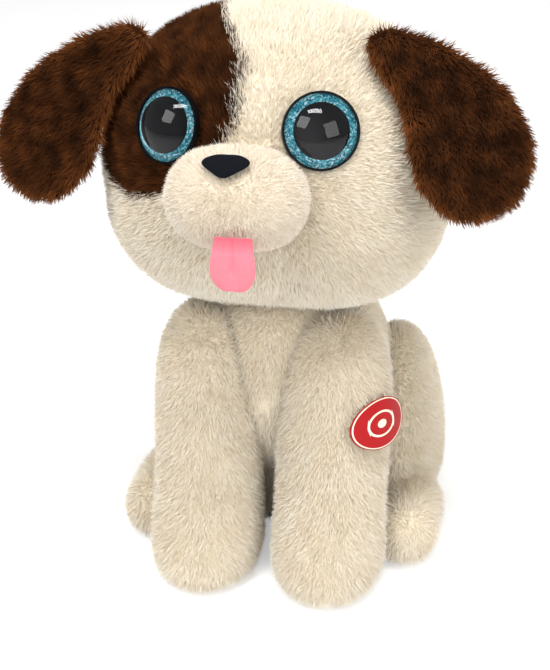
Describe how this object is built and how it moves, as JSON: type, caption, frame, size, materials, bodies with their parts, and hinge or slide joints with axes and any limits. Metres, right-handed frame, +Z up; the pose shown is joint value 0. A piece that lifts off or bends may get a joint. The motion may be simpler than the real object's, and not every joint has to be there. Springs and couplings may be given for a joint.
{
  "type": "interactive plush pet",
  "caption": "Sitting plush puppy with floppy ears, domed eyes and a motor-driven muzzle that moves forward when the button on its leg is pressed.",
  "frame": {"origin": "on the flat underside of the body where the puppy rests, in front of the battery door", "axes": "+Z up, the puppy faces -Y, its left side is +X"},
  "size_m": [0.2444, 0.2254, 0.2714],
  "materials": {
    "black_felt": "black felt",
    "black_gloss": "glossy black plastic",
    "black_plastic": "black moulded plastic",
    "board": "green laminate",
    "brown_plush": "dark brown plush with lighter tips",
    "cell_case": "plain metal sleeve",
    "clear_dome": "clear polished acrylic",
    "cream_plush": "short cream plush",
    "filling": "white polyester fibre filling",
    "glitter": "turquoise glitter film",
    "grey_plastic": "grey moulded plastic",
    "lead_jacket": "black flexible jacket",
    "muzzle_plush": "shorter off-white plush",
    "nylon": "natural nylon",
    "paper_cone": "black paper",
    "pink_felt": "pink felt",
    "red_card": "glossy red sticker card with a cream border",
    "steel": "plated steel",
    "white_plastic": "white moulded plastic"
  },
  "bodies": {
    "puppy": {"batteries": "cell_case", "battery_box": "white_plastic", "battery_contacts": "steel", "board_parts": "black_plastic", "box_screws": "steel", "case_screws": "steel", "circuit_board": "board", "eye_cup_left": "black_gloss", "eye_cup_right": "black_gloss", "eye_dome_left": "clear_dome", "eye_dome_right": "clear_dome", "eye_iris_left": "glitter", "eye_iris_right": "glitter", "eye_pupil_left": "black_gloss", "eye_pupil_right": "black_gloss", "eye_washer_left": "white_plastic", "eye_washer_right": "white_plastic", "face_patch": "brown_plush", "front_leg_cover_left": "cream_plush", "front_leg_cover_right": "cream_plush", "front_leg_stuffing_left": "filling", "front_leg_stuffing_right": "filling", "gear_axles": "steel", "gear_case": "white_plastic", "gear_case_cover": "white_plastic", "head_cover": "cream_plush", "head_stuffing": "filling", "hind_leg_left": "cream_plush", "hind_leg_right": "cream_plush", "motor_can": "steel", "motor_end_cap": "white_plastic", "motor_lead": "lead_jacket", "power_switch": "black_plastic", "press_switch": "black_plastic", "sound_cover": "white_plastic", "speaker_cone": "paper_cone", "speaker_frame": "steel", "speaker_magnet": "steel", "switch_lead": "lead_jacket", "tail": "cream_plush", "torso_cover": "cream_plush", "torso_stuffing": "filling"},
    "muzzle": {"muzzle_cover": "muzzle_plush", "muzzle_former": "white_plastic", "muzzle_slider": "nylon", "slider_screws": "steel", "nose": "black_felt"},
    "tongue": {"tongue": "pink_felt"},
    "cam": {"cam_gear": "nylon"},
    "idler": {"idler_gear": "nylon"},
    "rotor": {"motor_pinion": "nylon"},
    "ear_left": {"ear_left": "brown_plush"},
    "ear_right": {"ear_right": "brown_plush"},
    "press_button": {"press_sticker": "red_card", "press_pad": "cream_plush", "press_plunger": "grey_plastic"},
    "power_knob": {"power_knob": "black_plastic"},
    "battery_door": {"battery_door": "white_plastic", "door_screw": "steel"}
  },
  "joints": [
    {"name": "kiss_slide", "type": "slide", "parent": "puppy", "child": "muzzle", "axis": [0, -0.9848, 0.1736], "range_m": [0, 0.008]},
    {"name": "cam_turn", "type": "hinge", "parent": "puppy", "child": "cam", "pos_m": [0, -0.03239, 0.19953], "axis": [1, 0, 0], "range_deg": [0, 180.1]},
    {"name": "idler_turn", "type": "hinge", "parent": "puppy", "child": "idler", "pos_m": [0, -0.01191, 0.19592], "axis": [1, 0, 0], "range_deg": [-756.5, 0]},
    {"name": "motor_turn", "type": "hinge", "parent": "puppy", "child": "rotor", "pos_m": [0, 0.00227, 0.19342], "axis": [1, 0, 0], "range_deg": [0, 1966]},
    {"name": "tongue_flap", "type": "hinge", "parent": "muzzle", "child": "tongue", "pos_m": [0, -0.10476, 0.19269], "axis": [1, 0, 0], "range_deg": [-40, 8], "stiffness_Nm_per_rad": 0.004},
    {"name": "ear_left_flap", "type": "hinge", "parent": "puppy", "child": "ear_left", "pos_m": [0.06134, -0.04967, 0.24502], "axis": [0.4926, -0.3168, -0.8105], "range_deg": [-20, 20], "stiffness_Nm_per_rad": 0.4},
    {"name": "ear_right_flap", "type": "hinge", "parent": "puppy", "child": "ear_right", "pos_m": [-0.06134, -0.04967, 0.24502], "axis": [-0.4926, -0.3168, -0.8105], "range_deg": [-20, 20], "stiffness_Nm_per_rad": 0.4},
    {"name": "press", "type": "slide", "parent": "puppy", "child": "press_button", "axis": [-0.8229, 0.5142, -0.2419], "range_m": [0, 0.0015], "stiffness_N_per_m": 500},
    {"name": "power_slide", "type": "slide", "parent": "puppy", "child": "power_knob", "axis": [0, 1, 0], "range_m": [-0.0025, 0.0025]},
    {"name": "door_hinge", "type": "hinge", "parent": "puppy", "child": "battery_door", "pos_m": [0, 0.0416, 0.0023], "axis": [1, 0, 0], "range_deg": [0, 100]}
  ],
  "couplings": [
    {"joint": "cam_turn", "follows": "kiss_slide", "rad_per_m": 392.7},
    {"joint": "idler_turn", "follows": "kiss_slide", "rad_per_m": -1649.3},
    {"joint": "motor_turn", "follows": "kiss_slide", "rad_per_m": 4288.3}
  ]
}
